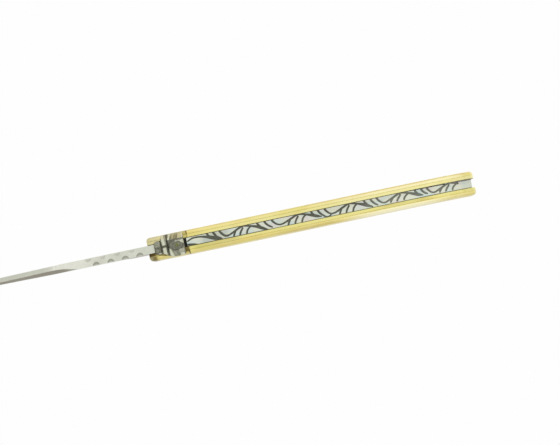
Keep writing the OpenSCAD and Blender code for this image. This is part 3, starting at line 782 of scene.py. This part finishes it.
def vine_lines():
    """Each cut line of the vine as its points and its half widths."""
    lines = [strand(points, 0) for points in opening]
    for wave, (off, deep) in enumerate(zip(curls_off, fall_deep)):
        if wave:
            lines.append(strand(shortened(falling, deep), wave))
        lines += [strand(rising[4:], wave), strand(rising[:5], wave, off / 2)]
        # The last waves' curls stop short of the spring's left edge
        lines += [strand(shortened(points, 0.6 if wave > 3 else 1), wave, off)
                  for points in upper_curls]
        lines += [strand(shortened(points, 0.55 if wave > 2 else 1), wave)
                  for points in lower_curls]
    return lines + [strand(falling[:3], wave_count), strand(run_on, 2)]


def cut_depth(points, lines, soft):
    """From 0 on the surface to 1 in a cut, for (x, z) points, over the width of its wall."""
    found = np.zeros(len(points))
    for line, half in lines:
        near = (points[:, 0] > line[:, 0].min() - 1) & (points[:, 0] < line[:, 0].max() + 1)
        p = points[near]
        best = np.full(len(p), -9.0)
        for a, b, w in zip(line[:-1], line[1:], half):
            way = b - a
            f = np.clip((p - a) @ way / (way @ way), 0, 1)
            best = np.maximum(best, w - np.linalg.norm(p - a - np.outer(f, way), axis=1))
        found[near] = np.maximum(found[near], smooth(0.5 + best / soft))
    return found


recess_end, recess_deep = joint_x - 0.4, 0.6
side_gap, rear_gap = 0.09, 0.34  # between the spring and a liner, and at the right's rear end
spring_edge = 0.12  # how deep the spring's edges are chamfered
wall, stain = 0.14, 0.12  # over what width a cut reaches its depth, and its black ends


def spring_half(x, z):
    """Half width of the spring on the side of z: its right side draws in at the rear."""
    drawn_in = (z >= 0) * (rear_gap - side_gap)
    return channel_z - side_gap - drawn_in * smooth((x - rear_x + 26) / 20)


def recess(x):
    """1 in the filed recess between the bee and the joint."""
    return smooth((x - bee_rear_x + 0.3) / 0.25) * smooth((recess_end - x) / 0.25)


def back_spring():
    """The spring with its vine, as rings across it with a fine row on the carved back."""
    across = np.concatenate([[-1], np.linspace(-0.925, 0.925, 43), [1]])
    carve_from = bee_rear_x - 0.6
    x = np.concatenate([np.linspace(nose_x, carve_from, 14)[:-1],
                        np.arange(carve_from, vine_end_x + 0.5, fine_step),
                        np.linspace(vine_end_x + 0.6, spring_x, 12)])
    grid_x, share = np.meshgrid(x, across, indexing="ij")
    z = share * spring_half(grid_x, share)
    flat = np.column_stack([grid_x.ravel(), z.ravel()])
    cut = cut_depth(flat, vine_lines(), wall).reshape(grid_x.shape)
    edge_cut = (abs(share) > 0.99) * spring_edge
    y = -back(grid_x) + most(line_deep * cut, edge_cut, recess_deep * recess(grid_x))
    under = -(back(x) - spring_depth(x))
    rings = [ring_over(*at) for at in zip(x, y, z, under)]
    obj = piece("carved_back_spring", [loft(rings)], materials["spring"], "handle",
                ["back_spring"], 60)

    def cuts_and_shade_at(px, py, pz):
        """Blackened cuts, paler to the rear, on darker tones; painted shade on the sides, edges
        and recess.
        """
        # darker over the front wave, and on the right half towards the rear
        darkening = 0.03 + 0.2 * smooth((px - 11) / 3) * smooth((24 - px) / 3)
        darkening = darkening + 0.09 * smooth((px - 46) / 8) * smooth((pz + 0.2) / 0.6)
        paler = 1 - 0.16 * smooth((px - 68) / 8) - 0.05 * smooth((px - 40) / 8) * (pz < 0)
        marked = cut_depth(np.column_stack([px, pz]), vine_lines(), stain)
        marked = np.maximum(darkening, paler * marked)
        # painted shade on the spring's sides, between the liners
        below = -back(px) + recess_deep + 0.1 < py
        # painted shade along the edges, in the gaps beside the liners
        rim = 0.9 * smooth((abs(pz) - spring_half(px, pz) + 0.16) / 0.14) * gap_shade_share(px, pz)
        # painted shadow in the recess behind the bee
        return np.where(below, 0.25, most(marked, rim, 1.3 * recess(px)))

    def gap_shadow_at(px, py, pz):
        """Painted shadow, the blackest places: in the recess, and along the right edge towards
        the rear.
        """
        top = py < recess_deep + 0.1 - back(px)
        rear_edge = smooth((px - 84) / 10) * (abs(pz) > spring_half(px, pz) - 0.13)
        return np.maximum(recess(px), rear_edge * np.where(pz < 0, 0.2, 1)) * top

    paint(obj, {"cut": cuts_and_shade_at, "gap_shadow": gap_shadow_at})


back_spring()

# ---- The bee ----
bee_len = bee_rear_x - bee_x
bee_h = -bee_top - back_front - wing_gap
tail_at = bee_len - 2.9
# Two grooves are filed across the bee, and one along its head and collar
neck_at, waist_at, parting_z = 2.55, 4.9, -0.05
groove_half = 0.34
wing_slant, wing_root = 0.38, 2.2


def bee_outline(wing_at):
    """Half width by distance from the front, with a wing of full width from wing_at on."""
    return monotone([
        (0, 0.3 * bee_head_w), (0.5, 0.465 * bee_head_w), (1.2, bee_head_w / 2),
        (2.4, bee_head_w / 2), (wing_at, bee_wing_w / 2), (bee_len - 0.6, bee_wing_w / 2),
        (bee_len, 0.465 * bee_wing_w)])


left_outline, right_outline = bee_outline(left_wing_at), bee_outline(right_wing_at)


def bee_side(q, z):
    """Half width of the bee on the side of z, at a distance from its front."""
    return np.where(z < 0, left_outline(q), right_outline(q))


def dome(q, z, at, long, wide, high):
    """Height of half an ellipsoid on the bee's middle line."""
    return high * np.sqrt(np.clip(1 - ((q - at) / long) ** 2 - (z / wide) ** 2, 0, None))


def groove(distance, half):
    """A rounded groove's share of its depth, at a distance from its middle line."""
    return smooth(1.3 * (1 - abs(distance) / half))


def grooves(q, z):
    """The grooves across the bee and along its front part."""
    across = np.maximum(groove(q - neck_at, groove_half), groove(q - waist_at, groove_half))
    along = groove(z - parting_z, groove_half) * smooth(q / 0.4) * (q < waist_at)
    return np.maximum(across, along)


def wing_lines(q, z):
    """Lines over the wings, which run outward and back."""
    run = q - wing_slant * (abs(z) - wing_root)
    lines = most(groove(run - 6.15, 0.4), groove(run - 7.6, 0.4), groove(run - 8.3, 0.25))
    return lines * smooth((abs(z) - 1.9) / 0.3)


def tail_rings(q, z):
    """Grooves round the tail, one to the millimetre, which bow back at the sides."""
    return groove(np.mod(q - waist_at - 0.1 * z * z, 1.0) - 0.5, 0.22) * (q > waist_at + 0.8)


def bee_rise(q, z):
    """Height of the bee over its foot: its highest part, less what is cut into it."""
    rim = np.minimum(1, 0.55 + (bee_side(q, z) - abs(z)) / 1.2)
    plate = np.where(q > waist_at, wing_h, 0.85 * wing_h) * rim
    head = dome(q, z, 1.5, 1.9, 0.56 * bee_head_w, 0.72 * bee_h)
    eyes = dome(q, abs(z) - 1.25, 1.1, 0.8, 0.8, 0.8) + 0.5 * bee_h
    head = np.maximum(head, np.where(eyes > 0.5 * bee_h, eyes, 0))
    collar = dome(q, z, 3.8, 1.5, 0.62 * bee_head_w, 0.8 * bee_h)
    tail = dome(q, z, tail_at, 3.2, 0.29 * bee_wing_w, bee_h)
    high = most(plate, head, collar, tail)
    relief = np.where(tail > plate, 0.14 * tail_rings(q, z), 0.16 * wing_lines(q, z))
    return np.maximum(high - relief - 0.22 * grooves(q, z), 0.2)


def worn_at(x, y, z):
    """Where the blackening is worn off the bee's high places."""
    q = x - bee_x
    slant = q - wing_slant * (z - wing_root)
    # How much, from where to where along the bee or its wing's slant, and across it
    places = [
        (0.9, q, (2.85, 4.1), (0.4, 5)),
        (0.35, q, (4, 4.8), (0.4, 5)),
        (0.92, q, (2.95, 4.35), (-3.5, -0.45)),
        (0.75, q, (1.3, 2.35), (-2.7, -1.95)),
        (0.95, slant, (5.1, 5.95), (1.95, 5, 0.3)),
        (0.45, slant, (6.2, 8.6, 0.3), (1.9, 5, 0.3)),
        (0.75, q, (5.4, 10.8, 0.4), (2.8, 5.5, 1)),
        (0.65, slant, (6.6, 7.3, 0.3), (1.9, 5, 0.3)),
        (0.85, slant, (8.5, 10.8, 0.3), (1.9, 5, 0.3)),
        (0.95, q, (8.9 + (1.2 - z) / 0.8, 10.8, 0.2), (-0.2, 1.5, 0.3)),
        (0.4, q, (7.6, 9, 0.3), (0.8, 1.6, 0.3)),
        (0.85, q, (5.2, 5.95 - 0.4 * (z + 1.2), 0.3), (-5, -1.1, 0.4)),
        (0.2, q, (6.5, 8.6, 0.4), (-5, -2, 0.4)),
        (0.9, q, (8.6, 10.7, 0.4), (-5, -3.2, 0.3)),
        (0.4, q, (8.3, 10.7, 0.5), (-3.6, -1.6, 0.4))]
    worn = [share * within(way, *run) * within(z, *width) for share, way, run, width in places]
    return most(*worn, 0.2 * within(q, 0.2, 2.4) * (z > 0))


def stained_at(x, y, z):
    """Where the worn steel is stained brown, as the right wing is."""
    q = x - bee_x
    return np.maximum(0.9 * within(q, 6.2, 10.8, 0.6) * within(z, 1.9, 5, 0.3),
                      0.45 * within(q, 2.8, 6.4) * within(z, 2.2, 5, 0.5))


def green_at(x, y, z):
    """A green stain in the middle of the body."""
    return 0.65 * smooth(1.5 - np.hypot((x - bee_x - 8.3) / 0.7, (z + 0.3) / 0.6))


def bee_cuts(x, y, z):
    """Darker grooves, and a little darker lines on the wings and the tail."""
    q = x - bee_x
    lines = np.maximum(0.35 * wing_lines(q, z), 0.25 * tail_rings(q, z) * (abs(z) < 2.2))
    return np.maximum((0.6 - 0.25 * smooth(z - 2)) * grooves(q, z), lines)


def bee():
    """The bee from rings across it, on the foot that it stands on."""
    across = np.linspace(-1, 1, 75)
    q = np.concatenate([[0, 0.05], np.arange(0.12, bee_len - 0.1, fine_step),
                        [bee_len - 0.05, bee_len]])
    base = -back_front - wing_gap
    rings = []
    for k, at in enumerate(q):
        z = across * bee_side(at, across)
        front = 0.75 if k == 0 else 1
        y = base - bee_rise(np.full(len(z), at), z) * front
        rings.append(ring_over(bee_x + at, y, z, base))
    half = channel_z - bee_foot_in
    foot = [[(x, -back_front, half), (x, -back_front, -half), (x, base - 0.1, -half),
             (x, base - 0.1, half)] for x in (bee_x + bee_foot_in, bee_rear_x - bee_foot_in)]
    obj = piece("chiselled_bee", [loft(rings), loft(foot)], materials["bee"], "handle",
                ["bee"], 55)
    paint(obj, {"worn": worn_at, "stained": stained_at, "green": green_at, "cut": bee_cuts})


bee()

# ---- The blade ----
def notch_depth(d, side):
    """How far the notches reach into one edge of the spine, at a distance from the pivot."""
    start = pivot_in + notch_first + (notch_stagger * notch_step if side > 0 else 0)
    middles = start + notch_step * np.arange(notch_count)
    off = np.min(abs(middles - d))
    return max(0, notch_deep - notch_r + math.sqrt(max(0, notch_r ** 2 - off ** 2)))


def blade_ring(d):
    """One cross-section of the blade or its tang, at a distance from the pivot."""
    if d < shoulder_at:
        round_y = math.sqrt(max(0, tang_round ** 2 - d ** 2))
        top, bottom = -min(tang_flat, round_y), min(tang_flat - nose_gap, round_y)
        half, ground, fine = half_blade, broken, half_blade - broken
        bevels = ((1, broken, half), (-1, broken, half))
    else:
        half = taper(d)
        top, bottom = -spine(d), edge(d)
        tall = bottom - top
        bevels = ((1, min(bevel_depth(d, right_bevel_run), 0.45 * tall), flat_right(d)),
                  (-1, min(bevel_depth(d, false_run), 0.45 * tall), flat_left(d)))
        ground = min(grind(d), 0.9 * tall - bevels[1][1])
        thin = min(edge_t / 2, 0.5 * half)
        fine = half - broken + (thin - half + broken) * smooth((d - ricasso_x) / 1.2)
    corners = []
    for side, deep, flat in bevels:
        notch = math.sqrt(2) * notch_depth(d, side)
        inner = (top, side * (flat - max(0.02, notch)))
        outer = (top + max(deep, notch), side * half)
        middle = tuple(0.3 * a + 0.7 * b for a, b in zip(inner, outer))
        corners.append([outer, middle, inner])
    ring = [(bottom, -fine), (bottom, fine), (bottom - ground, half), *corners[0],
            *corners[1][::-1], (bottom - ground, -half)]
    return [(-d, y, z) for y, z in ring]


def blade():
    """The blade from rings along it, closest over the notches and the false edge's start."""
    d = np.concatenate([np.linspace(-tang_flat, shoulder_at - 0.01, 24), [shoulder_at],
                        np.arange(shoulder_at + 0.3, false_start - 0.05, 0.1),
                        np.linspace(false_start, bevels_meet, 29)[:-1],
                        np.arange(bevels_meet, tip_at - edge_tip_in, 0.8),
                        np.linspace(tip_at - edge_tip_in, tip_at, 9)])
    obj = piece("ground_blade", [loft([blade_ring(x) for x in d])], materials["blade"], "blade",
                ["blade"], 20)
    bore(obj, [((0, 0), pivot_r + pivot_gap)], 20)

    def cuts_and_shade_at(x, y, z):
        """Painted shade in the notches: dark inside, paler at their outer edge, and paler on the
        right.
        """
        depth = math.sqrt(2) * np.array([notch_depth(-px, pz) for px, pz in zip(x, z)])
        in_notch = (y + spine(-x) < depth) & (abs(z) > half_blade - depth)
        outer = abs(z) > half_blade - 0.25 * depth
        dark = np.where(z > 0, 0.42, 0.9) * np.where(outer, 0.5, 1)
        return np.where(in_notch, dark * smooth(depth / 0.5), 0)

    paint(obj, {"cut": cuts_and_shade_at, "shade": shade_at, "green": tint_at}, "FACE")


def on_spine(d, y):
    """Whether a face is the flat of the spine, above the right bevel."""
    return y + spine(d) < bevel_depth(d, right_bevel_run) - 0.02


def tint_at(x, y, z):
    """The spine looks a little green on the fore part and near the handle."""
    d = -x
    return on_spine(d, y) * (0.17 * smooth((d - 41.5) / 4) + 0.15 * smooth((26 - d) / 10))


def shade_at(x, y, z):
    """Painted shade on the false edge, the fore part, on and just behind the notches, and on the
    left face near the handle.
    """
    d = -x
    flat = np.array([flat_left(at) for at in d])
    bevel = ((d > false_start) & (z < -flat - 0.02)
             & (y + spine(d) < bevel_depth(d, false_run) - 0.02))
    left_face = (z < -half_blade + 0.06) & (y + spine(d) > 0.2)
    fore = 0.28 * smooth((d - 41) / 1.5) * on_spine(d, y)
    near = 0.06 * smooth((26 - d) / 10)
    near = (near + 0.17 * np.exp(-((d - 25.5) / 4) ** 2)) * on_spine(d, y)
    bevel = bevel * (0.4 + 0.45 * smooth((d - false_start) / 6) + 0.1 * smooth((d - 50) / 10))
    return most(fore, near, bevel, 0.75 * left_face * smooth((22 - d) / 6))


blade()

# ---- The stage ----
def table():
    """A table that only the camera sees, and only from above: other rays pass through it."""
    mesh = bpy.data.meshes.new("table_top")
    b = bmesh.new()
    bmesh.ops.create_grid(b, x_segments=12, y_segments=12, size=4)
    b.to_mesh(mesh)
    b.free()
    obj = add_object("table_top", mesh)
    obj.location = (0, 0, -0.03 * MM)
    n = Nodes("pale_table")
    pale = n.mix(n.spread(n.noise(0.02), 0.3, 0.7), (0.93, 0.93, 0.93, 1), (0.95, 0.95, 0.95, 1))
    diffuse = n.add("BsdfDiffuse", "BSDF", {"Color": pale})
    clear = n.add("BsdfTransparent", "BSDF")
    seen = n.add("LightPath", "Is Camera Ray")
    above = n.times(1.0, n.add("NewGeometry", "Backfacing"), "SUBTRACT")
    n.set(n.tree.nodes["Material Output"], "Surface",
          n.choose(n.times(seen, above), clear, diffuse))
    n.tree.nodes.remove(n.shader)
    mesh.materials.append(n.data)


SOFT_LIGHT = 0.62  # strength of the light from all round
# Strength of the reflected light, by the direction's height from -1 below to 1 above
REFLECTED = [(-0.99, 0.92), (-0.65, 0.82), (-0.2, 0.92), (0.1, 0.97), (0.4, 0.98), (0.65, 0.84),
             (0.99, 0.92)]


def surroundings():
    """A white studio: a white background, plain soft light and brighter reflections."""
    n = Nodes("white_studio", "worlds")
    scene.world = n.data
    n.tree.nodes.clear()
    rays = n.add("LightPath").outputs
    direction = n.add("TexCoord", "Generated")
    height = n.add("SeparateXYZ", "Z", {"Vector": direction})
    along = n.add("MapRange", "Result", {"Value": height, "From Min": -1})
    ramp = n.add("ValToRGB", inputs={"Fac": along})
    ramp.color_ramp.interpolation = "EASE"
    stops = ramp.color_ramp.elements
    for level, strength in REFLECTED:
        stops.new((level + 1) / 2).color = (strength, strength, strength, 1)
    # The ramp's own stops are the outermost
    for extra in (0, -1):
        stops.remove(stops[extra])

    def light(color, strength):
        return n.add("Background", "Background", {"Color": color, "Strength": strength})

    glossy = n.times(rays["Is Glossy Ray"], rays["Is Transmission Ray"], "MAXIMUM")
    lit = n.choose(glossy, light((1, 1, 1, 1), SOFT_LIGHT),
                   light((1, 0.995, 0.98, 1), ramp.outputs["Color"]))
    background = light((0.99, 0.99, 0.99, 1), 1)
    seen = n.choose(rays["Is Camera Ray"], lit, background)
    n.add("OutputWorld", inputs={"Surface": seen})


# ---- The camera, at the photograph's angle ----
PHOTO_W = 560  # the photograph's width in pixels
PX_PER_MM = 2.80  # and its scale at the handle
ROLL = math.radians(11.83)  # how much the handle rises to the right
BELOW = math.radians(1.7)  # how far the camera looks up at the knife's lower side
SENSOR, LENS = 36, 135
AIM_X = 41.2  # the place on the handle's back that is in the middle of the picture
aim = Vector((AIM_X, -back(AIM_X), side_z)) * MM


def camera():
    """The camera, which looks at aim from the distance that gives the photo's scale."""
    ahead = Vector((0, math.cos(BELOW), math.sin(BELOW)))
    level_up = Vector((0, -math.sin(BELOW), math.cos(BELOW)))
    level_right = Vector((1, 0, 0))
    right = math.cos(ROLL) * level_right - math.sin(ROLL) * level_up
    up = math.sin(ROLL) * level_right + math.cos(ROLL) * level_up
    distance = PHOTO_W * LENS / (SENSOR * PX_PER_MM) * MM
    data = bpy.data.cameras.new("photo_camera")
    data.sensor_width, data.lens = SENSOR, LENS
    data.clip_start, data.clip_end = 0.01, 10
    obj = add_object("photo_camera", data)
    turn = Matrix((right, up, -ahead)).transposed().to_4x4()
    obj.matrix_world = Matrix.Translation(aim - ahead * distance) @ turn
    scene.camera = obj


def lamp(name, direction, away, size, watts):
    """A square lamp that faces aim from a direction, at a distance in metres."""
    data = bpy.data.lights.new(name, "AREA")
    data.shape, data.size, data.energy = "SQUARE", size, watts
    obj = add_object(name, data)
    toward = Vector(direction).normalized()
    obj.matrix_world = (Matrix.Translation(aim + toward * away)
                        @ toward.to_track_quat("Z", "Y").to_matrix().to_4x4())


table()
surroundings()
camera()
lamp("key_lamp", (0.4, -0.7, 0.55), 0.8, 1.2, 0.9)
lamp("rear_lamp", (0.3, 0.8, 0.5), 0.9, 1.2, 0.9)
